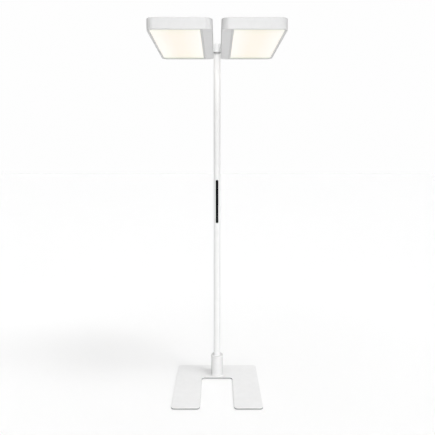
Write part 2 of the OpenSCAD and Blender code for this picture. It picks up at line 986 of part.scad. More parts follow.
// Driver with chamfered edges and an ear at each end, fixed to the rib
module head_driver() {
    c = driver_chamfer;
    x1 = rib_x;
    x0 = rib_x - driver_w;
    z0 = driver_z;
    z1 = driver_z + driver_h;
    profile = [
        [x1, z0], [x1, z1], [x0 + c, z1], [x0, z1 - c], [x0, z0 + c], [x0 + c, z0]
    ];
    color(NYLON) {
        translate([0, driver_y1, 0]) rotate([90, 0, 0])
            linear_extrude(height = driver_l) polygon(profile);
        difference() {
            block([x1 - driver_ear_t, driver_y0 - driver_ear, z0 + driver_ear_in],
                [x1, driver_y0 + weld, z1 - driver_ear_in]);
            rod_x(m3_r + fit, x1 - driver_ear_t - eps, x1 + eps,
                driver_y0 - driver_ear / 2, z0 + driver_h / 2);
        }
    }
}

// Angle bracket behind the inner wall, which spreads the bolts' load
module head_bracket() {
    x0 = in_x + wall;
    color(STEEL) difference() {
        union() {
            block([x0, -bracket_y, bracket_z0], [x0 + bracket_t, bracket_y, bracket_z1]);
            block([x0, -bracket_y, bracket_z0],
                [rib_x, bracket_y, bracket_z0 + bracket_t]);
        }
        for (y = bolt_ys, z = bolt_zs) {
            rod_x(m5_r + bolt_play, x0 - eps, x0 + bracket_t + eps, y, z);
        }
    }
}

// --------------------------------------------------- the two heads' nodes

module right_shell() { head_shell(); }
module right_bezel() { head_bezel(); }
module right_diffuser() { head_diffuser(); }
module right_light_guide() { head_light_guide(); }
module right_reflector() { head_reflector(); }
module right_led_strips() { head_led_strips(); }
module right_tray() { head_tray(); }
module right_up_board() { head_up_board(); }
module right_up_cover() { head_up_cover(); }
module right_band_cover() { head_band_cover(); }
module right_driver() { head_driver(); }
module right_bracket() { head_bracket(); }
module right_screws() { head_screws(); }

module left_shell() { left_half() head_shell(); }
module left_bezel() { left_half() head_bezel(); }
module left_diffuser() { left_half() head_diffuser(); }
module left_light_guide() { left_half() head_light_guide(); }
module left_reflector() { left_half() head_reflector(); }
module left_led_strips() { left_half() head_led_strips(); }
module left_tray() { left_half() head_tray(); }
module left_up_board() { left_half() head_up_board(); }
module left_up_cover() { left_half() head_up_cover(); }
module left_band_cover() { left_half() head_band_cover(); }
module left_driver() { left_half() head_driver(); }
module left_bracket() { left_half() head_bracket(); }
module left_screws() { left_half() head_screws(); }

floor_mat();
base_plate();
pole_socket();
socket_screws();
clamp_screws();
sleeve_cover();
pole_collar();
cord_gland();
pole_tube();
pole_cable();
cable_socket();
control_carrier();
control_board();
control_strip();
swivel_pin();
thrust_washer();
friction_washer();
stop_washer();
swivel_nut();
hub();
lower_bush();
upper_bush();
stop_screw();
hub_cap();
head_bolts();
head_harness();
left_shell();
left_bezel();
left_diffuser();
left_light_guide();
left_reflector();
left_led_strips();
left_tray();
left_up_board();
left_up_cover();
left_band_cover();
left_driver();
left_bracket();
left_screws();
right_shell();
right_bezel();
right_diffuser();
right_light_guide();
right_reflector();
right_led_strips();
right_tray();
right_up_board();
right_up_cover();
right_band_cover();
right_driver();
right_bracket();
right_screws();
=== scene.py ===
"""Looks of the office floor lamp: twin lit heads on a round pole over a U-shaped base plate.

Metres, +Z up, the pole on the Z axis, the front towards -Y. Sizes come from the frame's own nodes,
and the few that their boxes don't give are named below.
"""

import json
import math

import bmesh
import bpy
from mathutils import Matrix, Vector


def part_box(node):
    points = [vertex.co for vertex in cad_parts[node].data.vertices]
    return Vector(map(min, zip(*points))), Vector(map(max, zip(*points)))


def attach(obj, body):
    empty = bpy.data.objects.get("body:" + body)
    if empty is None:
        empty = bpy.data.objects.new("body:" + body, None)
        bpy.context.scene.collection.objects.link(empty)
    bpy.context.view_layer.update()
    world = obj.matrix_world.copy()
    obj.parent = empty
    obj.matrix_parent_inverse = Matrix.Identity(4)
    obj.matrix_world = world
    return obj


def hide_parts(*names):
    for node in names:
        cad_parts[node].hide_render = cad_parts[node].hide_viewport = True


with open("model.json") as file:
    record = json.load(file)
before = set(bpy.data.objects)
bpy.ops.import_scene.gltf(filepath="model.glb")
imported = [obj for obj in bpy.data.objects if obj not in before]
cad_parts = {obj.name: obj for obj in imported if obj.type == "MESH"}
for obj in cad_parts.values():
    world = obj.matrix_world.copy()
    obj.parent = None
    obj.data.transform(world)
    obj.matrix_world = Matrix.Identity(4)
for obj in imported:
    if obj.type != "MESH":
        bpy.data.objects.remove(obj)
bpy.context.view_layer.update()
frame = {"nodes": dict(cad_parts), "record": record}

MM = 0.001
TINY = 1e-6
STAND = "stand"
HEADS = "luminaire"
SIDES = {"left": -1, "right": 1}

# The picture's frame, in pixels, and the camera. It stands about where the photograph was taken,
# but tilts down a little, so that a small shift is enough. The other views keep the shift, and a
# large one would put the heads outside them.
IMAGE_PX = 435
FOCAL_PX = 433.4
CENTRE_PX = 217.05  # the column that the camera's axis meets
SHIFT_PX = 25.0  # how far above the picture's middle the camera's axis meets it
TILT_DEG = 4.8
SENSOR_MM = 36.0
CAMERA_AT = (0.0, -2.517, 1.318)
SIGHT = 200.0

# Base plate
BASE_CORNER = 18 * MM
BASE_EDGE = 1 * MM  # round of the upper edge
BASE_BREAK = 0.4 * MM  # chamfer of the lower edge
SLOT_WIDTH = 180 * MM
SLOT_END = -47.5 * MM

# Sleeve, collar and pole
WALL = 3 * MM
CHAMFER = 1.5 * MM
SLEEVE_LID = 4 * MM
COLLAR_LIP = 1 * MM
COLLAR_RIM = 0.8 * MM  # the collar's thickness at its top
POLE_WALL = 2 * MM
STRIP_GAP = 0.15 * MM
STRIP_DEPTH = 3 * MM

# Cord gland
NECK_R = 6 * MM
FLANGE_R = 9 * MM
FLANGE_T = 3 * MM
FLANGE_SUNK = 1.1 * MM
CONE_R = (7.3 * MM, 6.1 * MM)  # outside radius at the flange and at the tip
CORD_BORE = (4 * MM, 12 * MM)  # radius and depth

# Hub
BUSH_R = 12 * MM
POCKET_R = 17 * MM
PAD_HALF = 16 * MM  # half the width of the pad that a head bolts to
PAD_IN = 18.5 * MM  # how far from the axis the pad starts
PAD_CORNER = 1 * MM
PAD_FROM = 3 * MM  # the pad's distance from the hub's underside
PAD_TO = 1 * MM  # and from its top
SCREW_BORE = (2.1 * MM, 30 * MM)  # radius and reach
CAP_RIM = 3 * MM

# Heads, with the housing's wall as thick as the sleeve's
HEAD_CORNER = 34 * MM
CROWN = 2 * MM  # round of the housing's upper rim
PANEL = 4 * MM  # thickness of the housing's top
SEAM = 0.15 * MM  # broken edge on each side of the seam between housing and window frame
BEZEL = 9 * MM
BEZEL_EDGE = 0.5 * MM
BAND = 43 * MM
BAND_GAP = 0.2 * MM
BAND_EDGE = 0.6 * MM
BAND_T = 2 * MM
WINDOW_IN_R = 3 * MM
PLATE_IN_R = 1 * MM
PLATE_GAP = 2.2 * MM  # how much smaller the diffuser's outer corners are than the housing's inside
UPPER_R = 19.7 * MM
UPPER_LAP = 6 * MM
UPPER_GAP = 0.3 * MM
UPPER_EDGE = 0.4 * MM

FIT = 0.05 * MM
CLEAR = 1 * MM  # how far a cutter reaches past what it cuts

# How finely rounds are cut: steps in each kind of round, and sides of each turned piece
ARC_STEPS = 14
BASE_STEPS = 10
BASE_RIM_STEPS = 4
CROWN_STEPS = 6
COVE_STEPS = 16
FILLET_STEPS = 4
STRIP_STEPS = 16
POLE_TURN = 128
HUB_TURN = 96
GLAND_TURN = 64
HOLE_TURN = 24
SHARP_DEG = 32.0

# Studio light. FLOOR_WHITE is the floor's own white. The others are the brightness that each source
# sends out or gives a white face square to it.
FLOOR_WHITE = 0.85
FLOOR_GLOW = 0.11
FLOOR_SIZE = 30.0
BACKDROP_GLOW = 0.99
BACKDROP_SIZE = 80.0
ROOM_LIGHT = 0.05
LIGHT_FROM_BELOW = 0.74
HORIZON_BLEND = 0.02
# The key light's suns: height and bearing from +X towards the front, in degrees, and brightness
KEY_SUNS = [(70, 36, 0.05), (64, 32, 0.06), (57, 28, 0.05), (47, 17, 0.065)]
KEY_SPREAD = 9.0
# The broad lights: the direction that they come from, brightness, and spread in degrees
BROAD_SUNS = {
    "front": ((0.02, -1.0, 0.07), 0.56, 10.0),
    "front_right": ((0.8, -0.65, 0.25), 0.10, 12.0),
    "overhead": ((0.0, 0.0, 1.0), 0.76, 80.0),
}

# The lit panels: colour over the middle, colour towards the long sides, and brightness
DOWN_GLOW = ((0.72, 0.65, 0.565), (0.77, 0.73, 0.68), 1.0)
UP_GLOW = ((1.0, 0.95, 0.88), (1.0, 0.97, 0.93), 0.7)
# Where between its middle and its long side a panel starts and ends changing colour
SIDE_BLEND = (0.2, 0.95)
# Places between a panel's middle and its end, and the tint of its light there
END_DIMMING = [(0.5, (1.0, 1.0, 1.0)), (0.85, (0.95, 0.985, 0.96)), (1.0, (0.68, 0.80, 0.72))]
OPAL_UNLIT = (0.25, 0.25, 0.24)

# Surface detail: where a noise turns from its dark to its full tone, and depths of fine relief
TONE_FROM, TONE_TO = 0.3, 0.7
PATCHES = 35.0  # waves per metre
SKIN_DEPTH = 0.2 * MM
GRAIN_DEPTH = 0.1 * MM


# ------------------------------------------------------------------ materials


def new_material(name):
    """A material, its node tree and its shader."""
    mat = bpy.data.materials.new(name)
    mat.use_nodes = True
    tree = mat.node_tree
    return mat, tree, tree.nodes["Principled BSDF"]


def noise(tree, scale, detail=3.0):
    """A noise texture in object space, in waves per metre."""
    coords = tree.nodes.new("ShaderNodeTexCoord")
    tex = tree.nodes.new("ShaderNodeTexNoise")
    tex.inputs["Scale"].default_value = scale
    tex.inputs["Detail"].default_value = detail
    tex.inputs["Roughness"].default_value = 0.55
    tree.links.new(coords.outputs["Object"], tex.inputs["Vector"])
    return tex.outputs["Fac"]


def ramp(tree, value, stops):
    """A colour ramp over a value, from (place, colour) pairs."""
    node = tree.nodes.new("ShaderNodeValToRGB")
    elements = node.color_ramp.elements
    while len(elements) < len(stops):
        elements.new(0.5)
    for element, (place, colour) in zip(elements, stops):
        element.position = place
        element.color = (*colour, 1.0)
    tree.links.new(value, node.inputs["Fac"])
    return node.outputs["Color"]


def tones(tree, value, colour, depth):
    """A colour that a value darkens here and there, by up to a depth."""
    return ramp(tree, value, [(TONE_FROM, shade(colour, 1 - depth)), (TONE_TO, colour)])


def map_range(tree, value, low, high):
    """A value from 0..1 mapped to low..high."""
    node = tree.nodes.new("ShaderNodeMapRange")
    node.inputs["To Min"].default_value = low
    node.inputs["To Max"].default_value = high
    tree.links.new(value, node.inputs["Value"])
    return node.outputs["Result"]


def bump(tree, height, strength, distance):
    """A bump normal from a height value."""
    node = tree.nodes.new("ShaderNodeBump")
    node.inputs["Strength"].default_value = strength
    node.inputs["Distance"].default_value = distance
    tree.links.new(height, node.inputs["Height"])
    return node.outputs["Normal"]


def shade(colour, factor):
    """A colour made darker or lighter by a factor."""
    return tuple(c * factor for c in colour)


def surface(name, colour, rough, mottle=0.03, peel=(900.0, 0.08), gloss=0.5):
    """A moulded or coated surface: faint mottle in its colour, uneven gloss and a fine skin.

    peel is the skin's waves per metre and its strength.
    """
    mat, tree, shader = new_material(name)
    patches = noise(tree, PATCHES)
    skin = noise(tree, peel[0], detail=2.0)
    tree.links.new(tones(tree, patches, colour, mottle), shader.inputs["Base Color"])
    tree.links.new(map_range(tree, patches, rough * 0.9, rough * 1.1), shader.inputs["Roughness"])
    tree.links.new(bump(tree, skin, peel[1], SKIN_DEPTH), shader.inputs["Normal"])
    shader.inputs["Specular IOR Level"].default_value = gloss
    return mat


def opal(name, middle, sides, strength, reach, at):
    """A lit opal panel: warmer over its middle, paler towards its long sides, and dimmer at its
    two ends, where no diodes stand. reach is half its size in x and y, and at is its middle."""
    mat, tree, shader = new_material(name)
    coords = tree.nodes.new("ShaderNodeTexCoord")
    mapping = tree.nodes.new("ShaderNodeMapping")
    mapping.inputs["Location"].default_value = (-at[0] / reach[0], -at[1] / reach[1], 0.0)
    mapping.inputs["Scale"].default_value = (1 / reach[0], 1 / reach[1], 0.0)
    tree.links.new(coords.outputs["Object"], mapping.inputs["Vector"])
    size = tree.nodes.new("ShaderNodeVectorMath")
    size.operation = "ABSOLUTE"
    tree.links.new(mapping.outputs["Vector"], size.inputs[0])
    split = tree.nodes.new("ShaderNodeSeparateXYZ")
    tree.links.new(size.outputs["Vector"], split.inputs["Vector"])
    across = ramp(tree, split.outputs["X"], list(zip(SIDE_BLEND, (middle, sides))))
    along = ramp(tree, split.outputs["Y"], END_DIMMING)
    glow = tree.nodes.new("ShaderNodeMix")
    glow.data_type = "RGBA"
    glow.blend_type = "MULTIPLY"
    glow.inputs["Factor"].default_value = 1.0
    tree.links.new(across, glow.inputs["A"])
    tree.links.new(along, glow.inputs["B"])
    tree.links.new(glow.outputs["Result"], shader.inputs["Emission Color"])
    shader.inputs["Emission Strength"].default_value = strength
    skin = noise(tree, 1500.0, detail=2.0)
    tree.links.new(bump(tree, skin, 0.03, GRAIN_DEPTH), shader.inputs["Normal"])
    tree.links.new(map_range(tree, noise(tree, 40.0), 0.38, 0.5), shader.inputs["Roughness"])
    shader.inputs["Base Color"].default_value = (*OPAL_UNLIT, 1.0)
    return mat


def metal(name, colour, rough, grain):
    """Bare metal with a drawn or turned grain. grain is its waves per metre in x, y and z."""
    mat, tree, shader = new_material(name)
    coords = tree.nodes.new("ShaderNodeTexCoord")
    mapping = tree.nodes.new("ShaderNodeMapping")
    mapping.inputs["Scale"].default_value = grain
    tex = tree.nodes.new("ShaderNodeTexNoise")
    tex.inputs["Scale"].default_value = 1.0
    tex.inputs["Detail"].default_value = 4.0
    tree.links.new(coords.outputs["Object"], mapping.inputs["Vector"])
    tree.links.new(mapping.outputs["Vector"], tex.inputs["Vector"])
    lines = tex.outputs["Fac"]
    tree.links.new(tones(tree, lines, colour, 0.1), shader.inputs["Base Color"])
    tree.links.new(map_range(tree, lines, rough * 0.8, rough * 1.2), shader.inputs["Roughness"])
    tree.links.new(bump(tree, lines, 0.08, GRAIN_DEPTH), shader.inputs["Normal"])
    shader.inputs["Metallic"].default_value = 1.0
    return mat


COAT = (0.88, 0.88, 0.88)
HEAD_COAT = (0.66, 0.66, 0.66)
BLACK = (0.03, 0.03, 0.03)

# Name: colour, roughness, and what differs from a plain surface
SURFACES = {
    "white_coat": (COAT, 0.42, dict(peel=(1100.0, 0.10), gloss=0.2)),
    # A darker copy of the white coat: painted shade for the base plate's sides
    "plate_edge": (shade(COAT, 0.38), 0.5, dict(peel=(1100.0, 0.10))),
    # A darker copy of the white coat on the pole: painted shade that tones down the light on it
    "pole_coat": (shade(COAT, 0.94), 0.42, dict(peel=(1100.0, 0.10), gloss=0.2)),
    # A darker copy of the white coat on the sleeve: painted shade against the light the base sends
    # onto it
    "sleeve_coat": (shade(COAT, 0.86), 0.42, dict(peel=(1100.0, 0.10), gloss=0.2)),
    "head_coat": (HEAD_COAT, 0.32, dict(peel=(1100.0, 0.08), gloss=0.4)),
    # A lighter coat on the hub and its cap: painted light against the shade between the heads
    "hub_coat": ((0.93, 0.93, 0.93), 0.42, dict(peel=(1100.0, 0.08), gloss=0.2)),
    # Greys for the swivel's gap: painted shade for the shadow under the hub
    "washer_grey": ((0.38, 0.38, 0.38), 0.5, dict(peel=(1500.0, 0.1))),
    "pin_grey": ((0.55, 0.55, 0.55), 0.45, dict(peel=(1500.0, 0.05))),
    "band_white": ((0.88, 0.88, 0.88), 0.5, dict(peel=(1600.0, 0.12))),
    "bezel_grey": ((0.74, 0.74, 0.73), 0.45, dict(peel=(1600.0, 0.12))),
    "clear_acrylic": ((0.86, 0.90, 0.91), 0.12, dict(peel=(400.0, 0.01))),
    "white_foil": ((0.90, 0.90, 0.89), 0.6, dict(peel=(2000.0, 0.05))),
    "circuit_board": ((0.80, 0.81, 0.76), 0.4, dict(peel=(1500.0, 0.1))),
    "white_plastic": ((0.78, 0.78, 0.78), 0.42, dict(peel=(1500.0, 0.1))),
    "bearing_nylon": ((0.72, 0.70, 0.62), 0.4, dict(peel=(800.0, 0.06))),
    "rubber": ((0.035, 0.035, 0.035), 0.8, dict(mottle=0.2, peel=(1300.0, 0.4))),
    "cable_jacket": (BLACK, 0.55, dict(mottle=0.1, peel=(900.0, 0.1))),
    "black_plastic": (BLACK, 0.5, dict(mottle=0.1, peel=(1500.0, 0.1))),
    "black_gloss": (
        (0.003, 0.003, 0.004), 0.16, dict(mottle=0.2, peel=(120.0, 0.004), gloss=0.03)
    ),
}
MATERIALS = {
    name: surface(name, colour, rough, **more)
    for name, (colour, rough, more) in SURFACES.items()
}
MATERIALS["aluminium"] = metal("aluminium", (0.72, 0.73, 0.74), 0.35, (40.0, 900.0, 900.0))
MATERIALS["steel"] = metal("steel", (0.45, 0.46, 0.48), 0.32, (900.0, 900.0, 300.0))

# Nodes seen in the swivel's gap take plain greys in place of their own finishes: painted shade, so
# that the gap reads as a soft grey ring between the pole and the hub
NODE_LOOKS = {"thrust_washer": "washer_grey", "swivel_pin": "pin_grey"}


# --------------------------------------------------------------------- meshes


def arc(centre, radius, start, sweep, steps):
    """Points on an arc, from a start angle over a sweep, in degrees."""
    points = []
    for i in range(steps + 1):
        a = math.radians(start + sweep * i / steps)
        points.append((centre[0] + radius * math.cos(a), centre[1] + radius * math.sin(a)))
    return points


def quarter(steps):
    """Cosine and sine at even steps of a quarter turn."""
    turns = [math.radians(90 * i / steps) for i in range(steps + 1)]
    return [(math.cos(a), math.sin(a)) for a in turns]


def corner_loop(low, high, radii, steps=ARC_STEPS):
    """Anticlockwise outline of a rectangle, with its own radius at each corner.

    The corners run low-low, high-low, high-high, low-high.
    """
    (x0, y0), (x1, y1) = low, high
    r = [max(v, 0.2 * MM) for v in radii]
    centres = [
        (x0 + r[0], y0 + r[0]), (x1 - r[1], y0 + r[1]),
        (x1 - r[2], y1 - r[2]), (x0 + r[3], y1 - r[3]),
    ]
    points = []
    for centre, radius, start in zip(centres, r, (180, 270, 0, 90)):
        points += arc(centre, radius, start, 90, steps)
    return points


def inset_loop(low, high, radii, inset):
    """corner_loop drawn in by an inset, its corners staying concentric."""
    near = (low[0] + inset, low[1] + inset)
    far = (high[0] - inset, high[1] - inset)
    return corner_loop(near, far, [r - inset for r in radii])


def rounded_rim(loop_at, radius, top, steps):
    """Stations that round an upper rim. loop_at gives the outline at an inset."""
    return [
        (loop_at(radius * (1 - cos)), top - radius * (1 - sin)) for cos, sin in quarter(steps)
    ]


def bridge(bm, loops, ring=False):
    """Faces between neighbouring loops of points. ring joins the last loop to the first."""
    following = loops[1:] + loops[:1] if ring else loops[1:]
    for a, b in zip(loops, following):
        for i in range(len(a)):
            j = (i + 1) % len(a)
            corners = list(dict.fromkeys((a[i], a[j], b[j], b[i])))
            if len(corners) > 2:
                bm.faces.new(corners)


def loft(stations, ring=False):
    """A closed skin through stations of (outline, z). ring joins the last station to the first."""
    bm = bmesh.new()
    loops = [[bm.verts.new((x, y, z)) for x, y in outline] for outline, z in stations]
    bridge(bm, loops, ring)
    if not ring:
        bm.faces.new(loops[0][::-1])
        bm.faces.new(loops[-1])
    return bm


def revolve(profile, segments, closed=False):
    """A turned skin round the Z axis from (radius, z) points. closed makes it a ring."""
    bm = bmesh.new()
    rings = []
    for radius, z in profile:
        if radius < TINY:
            rings.append([bm.verts.new((0.0, 0.0, z))] * segments)
        else:
            outline = arc((0.0, 0.0), radius, 0, 360, segments)[:-1]
            rings.append([bm.verts.new((x, y, z)) for x, y in outline])
    bridge(bm, rings, closed)
    return bm


def fillet(corner, before, after, radius):
    """Points of a small round at a profile's corner, coming from before and leaving for after."""
    c, a, b = Vector(corner), Vector(before), Vector(after)
    u, v = (a - c).normalized(), (b - c).normalized()
    half = u.angle(v) / 2
    reach = radius / math.tan(half)
    centre = c + (u + v).normalized() * (radius / math.sin(half))
    start, end = c + u * reach, c + v * reach
    points = []
    for i in range(FILLET_STEPS + 1):
        d = (start - centre).lerp(end - centre, i / FILLET_STEPS).normalized() * radius
        points.append(tuple(centre + d))
    return points


def rounded_profile(corners):
    """A closed profile from corners of (radius, z, round). The round is in mm, and 0 is sharp."""
    spots = [(r, z) for r, z, _ in corners]
    points = []
    for i, (_, _, size) in enumerate(corners):
        if size > 0:
            points += fillet(spots[i], spots[i - 1], spots[(i + 1) % len(spots)], size * MM)
        else:
            points.append(spots[i])
    return points


def mirror(bm):
    """Turns a piece of the right head into the left head's."""
    for v in bm.verts:
        v.co.x = -v.co.x


def lay_down(bm, towards, lift=0.0):
    """Turns a skin from the Z axis to the Y axis, towards +1 or -1, and lifts it."""
    for v in bm.verts:
        v.co = Vector((v.co.x, towards * v.co.z, v.co.y + lift))


def new_object(name, bm):
    """An object in the scene, made from a bmesh."""
    mesh = bpy.data.meshes.new(name)
    bm.to_mesh(mesh)
    bm.free()
    obj = bpy.data.objects.new(name, mesh)
    bpy.context.scene.collection.objects.link(obj)
    return obj


def shade_by_angle(mesh):
    """Smooth shading that stays crisp across sharp edges."""
    mesh.polygons.foreach_set("use_smooth", [True] * len(mesh.polygons))
    mesh.set_sharp_from_angle(angle=math.radians(SHARP_DEG))


def place(name, bm, body, slot, node, flip=False, look=None):
    """Turns a bmesh into a finished piece that rides on a body and stands for a CAD node.

    look names its material where that isn't the slot's own.
    """
    if flip:
        mirror(bm)
    bmesh.ops.remove_doubles(bm, verts=bm.verts, dist=1e-7)
    bmesh.ops.recalc_face_normals(bm, faces=bm.faces)
    piece = new_object(name, bm)
    shade_by_angle(piece.data)
    piece.data.materials.append(MATERIALS[look or slot])
    weighted = piece.modifiers.new("even_shading", "WEIGHTED_NORMAL")
    weighted.keep_sharp = True
    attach(piece, body)
    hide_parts(node)
    return piece


def carve(piece, cutter_bm, operation="DIFFERENCE"):
    """Cuts a piece with a closed skin, or joins the two, and keeps its shading."""
    bmesh.ops.recalc_face_normals(cutter_bm, faces=cutter_bm.faces)
    cutter = new_object("cutter", cutter_bm)
    cut = piece.modifiers.new("cut", "BOOLEAN")
    cut.object = cutter
    cut.operation = operation
    cut.solver = "EXACT"
    weighted = piece.modifiers["even_shading"]
    weighted.show_viewport = False
    graph = bpy.context.evaluated_depsgraph_get()
    result = bpy.data.meshes.new_from_object(piece.evaluated_get(graph))
    piece.modifiers.remove(cut)
    weighted.show_viewport = True
    piece.data = result
    shade_by_angle(result)
    bpy.data.objects.remove(cutter)


# ------------------------------------------------------------------------ base


def base_loop(inset):
    """Anticlockwise outline of the U-shaped base plate, drawn in by an inset."""
    low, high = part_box("base_plate")
    r = BASE_CORNER - inset
    q = BASE_CORNER + inset
    x0, x1 = low.x + inset, high.x - inset
    y0, y1 = low.y + inset, high.y - inset
    sx, sy = SLOT_WIDTH / 2 + inset, SLOT_END + inset
    arcs = [
        (x1 - r, y0 + r, r, 270, 90),
        (x1 - r, y1 - r, r, 0, 90),
        (x0 + r, y1 - r, r, 90, 90),
        (x0 + r, y0 + r, r, 180, 90),
        (-sx - r, y0 + r, r, 270, 90),
        (-sx + q, sy - q, q, 180, -90),
        (sx - q, sy - q, q, 90, -90),
        (sx + r, y0 + r, r, 180, 90),
    ]
    points = []
    for x, y, radius, start, sweep in arcs:
        points += arc((x, y), radius, start, sweep, BASE_STEPS)
    return points


def build_base():
    """The base plate, with a rounded upper edge. Its sides carry painted shade: a darker copy of
    its coat that stands for the shadow along the plate's edges.
    """
    low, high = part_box("base_plate")
    stations = [(base_loop(BASE_BREAK), low.z), (base_loop(0.0), low.z + BASE_BREAK)]
    stations += rounded_rim(base_loop, BASE_EDGE, high.z, BASE_RIM_STEPS)
    plate = place("base_plate_steel", loft(stations), STAND, "white_coat", "base_plate")
    # Painted shade: the upright sides take a darker copy of the coat, for the shadow along the
    # plate's edges
    plate.data.materials.append(MATERIALS["plate_edge"])
    for face in plate.data.polygons:
        if abs(face.normal.z) < 0.5:
            face.material_index = 1


# ------------------------------------------------------------------------ foot


def build_foot():
    """The sleeve over the pole's foot, and the collar that flares from it to the pole."""
    low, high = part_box("sleeve_cover")
    collar_low, collar_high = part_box("pole_collar")
    r, inner = high.x, high.x - WALL
    mouth = collar_high.x + FIT
    lid_z = high.z - SLEEVE_LID
    sleeve = rounded_profile([
        (inner, low.z, 0), (r, low.z, 0.5), (r, high.z - CHAMFER, 0.4),
        (r - CHAMFER, high.z, 0.4), (mouth, high.z, 0.3), (mouth, lid_z, 0), (inner, lid_z, 0),
    ])
    # The sleeve takes a darker copy of the white coat: painted shade
    place(
        "foot_sleeve", revolve(sleeve, POLE_TURN, closed=True), STAND, "white_coat",
        "sleeve_cover", look="sleeve_coat",
    )

    pole_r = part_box("pole_tube")[1].x
    bore = pole_r + FIT
    flare = collar_high.x - (pole_r + COLLAR_RIM)
    rise = collar_high.z - (high.z + COLLAR_LIP)
    cove = [
        (collar_high.x - flare * sin, collar_high.z - rise * cos)
        for cos, sin in quarter(COVE_STEPS)
    ]
    collar = [(bore, collar_low.z), (collar_high.x, collar_low.z), *cove, (bore, collar_high.z)]
    place(
        "collar_flare", revolve(collar, POLE_TURN, closed=True), STAND, "white_plastic",
        "pole_collar",
    )


def build_gland():
    """The gland at the back of the sleeve's foot, with the bore that takes a cord."""
    low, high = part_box("cord_gland")
    sleeve_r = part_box("sleeve_cover")[1].x
    face, flange = sleeve_r - FLANGE_SUNK, sleeve_r + FLANGE_T
    root, tip = CONE_R
    bore, depth = CORD_BORE
    end = high.y
    bm = revolve(rounded_profile([
        (0, low.y, 0), (NECK_R, low.y, 0), (NECK_R, face, 0), (FLANGE_R, face, 0.3),
        (FLANGE_R, flange, 0.8), (root, flange, 0.6), (tip, end, 0.7), (bore, end, 0.5),
        (bore, end - depth, 0), (0, end - depth, 0),
    ]), GLAND_TURN)
    lay_down(bm, 1, (low.z + high.z) / 2)
    place("cord_entry", bm, STAND, "white_plastic", "cord_gland")


# ------------------------------------------------------------------------ pole


def build_pole():
    """The pole, with a slot in its front that the touch strip sits in."""
    low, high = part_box("pole_tube")
    strip_low, strip_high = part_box("control_strip")
    r, inner = high.x, high.x - POLE_WALL
    tube = rounded_profile([
        (inner, low.z, 0), (r, low.z, 0), (r, high.z, 0.4), (inner, high.z, 0),
    ])
    # The pole takes a darker copy of the white coat: painted shade
    pole = place(
        "pole_tube_skin", revolve(tube, POLE_TURN, closed=True), STAND, "white_coat",
        "pole_tube", look="pole_coat",
    )
    half = strip_high.x + STRIP_GAP
    slot = corner_loop(
        (-half, strip_low.z - STRIP_GAP), (half, strip_high.z + STRIP_GAP), [half - TINY] * 4, 12
    )
    cutter = loft([(slot, 0.2 * r), (slot, 1.7 * r)])
    lay_down(cutter, -1)
    carve(pole, cutter)


def build_strip():
    """The touch strip: a slip of gloss black that follows the pole's curve, its rim eased."""
    low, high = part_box("control_strip")
    r, half = -low.y, high.x
    eased = [(0.0, STRIP_DEPTH), (0.0, 0.5 * MM), (0.15 * MM, 0.15 * MM), (0.5 * MM, 0.0)]
    stations = [(inset, r - depth) for inset, depth in eased]
    stations += [(half * k / 6, r) for k in range(1, 6)]
    bm = bmesh.new()
    loops = []
    for inset, radius in stations:
        w = half - inset
        outline = corner_loop(
            (-w, low.z + inset), (w, high.z - inset), [w - TINY] * 4, STRIP_STEPS
        )
        loops.append([bm.verts.new((x, -math.sqrt(radius**2 - x**2), z)) for x, z in outline])
    bridge(bm, loops)
    close_strip(bm, loops[-1])
    close_strip(bm, loops[0])
    place("touch_strip", bm, STAND, "black_gloss", "control_strip")


def close_strip(bm, loop):
    """Closes a tall loop with rungs between its mirrored left and right points."""
    left = sorted((v for v in loop if v.co.x < 0), key=lambda v: v.co.z)
    right = sorted((v for v in loop if v.co.x >= 0), key=lambda v: v.co.z)
    for i in range(min(len(left), len(right)) - 1):
        bm.faces.new((left[i], right[i], right[i + 1], left[i + 1]))


# ------------------------------------------------------------------------- hub


def build_hub():
    """The hub between the heads, with a pad on each side and the stop screw's hole, and its cap."""
    low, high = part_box("hub")
    r, top = high.x, high.z
    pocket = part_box("friction_washer")[0].z
    casting = rounded_profile([
        (BUSH_R, low.z, 0), (r, low.z, 0.8), (r, top, 0.3), (POCKET_R, top, 0),
        (POCKET_R, pocket, 0), (BUSH_R, pocket, 0),
    ])
    # The hub and its cap take a lighter coat: painted light
    hub = place(
        "hub_casting", revolve(casting, HUB_TURN, closed=True), HEADS, "head_coat", "hub",
        look="hub_coat",
    )
    for side in SIDES.values():
        near, far = sorted((side * PAD_IN, side * r))
        outline = corner_loop((near, -PAD_HALF), (far, PAD_HALF), [PAD_CORNER] * 4, 4)
        pad = loft([(outline, low.z + PAD_FROM), (outline, top - PAD_TO)])
        carve(hub, pad, "UNION")
    screw_low, screw_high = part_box("stop_screw")
    hole, reach = SCREW_BORE
    bore = revolve([(0, -reach), (hole, -reach), (hole, 0.0), (0, 0.0)], HOLE_TURN)
    lay_down(bore, -1, (screw_low.z + screw_high.z) / 2)
    carve(hub, bore)

    cap_low, cap_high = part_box("hub_cap")
    spigot = POCKET_R - FIT
    seam = cap_high.z - CAP_RIM
    cap = rounded_profile([
        (0, cap_low.z, 0), (spigot, cap_low.z, 0), (spigot, seam, 0), (r, seam, 0.3),
        (r, cap_high.z, 2.0), (0, cap_high.z, 0),
    ])
    place("hub_top_cap", revolve(cap, HUB_TURN), HEADS, "head_coat", "hub_cap", look="hub_coat")


# ----------------------------------------------------------------------- heads
# Every piece is worked out for the right head, and the left head's are its mirror image.


def outline_of(part, radii):
    """A function that gives the outline of a part of the right head at an inset."""
    low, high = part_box(f"right_{part}")
    return lambda inset: inset_loop(low, high, radii, inset)


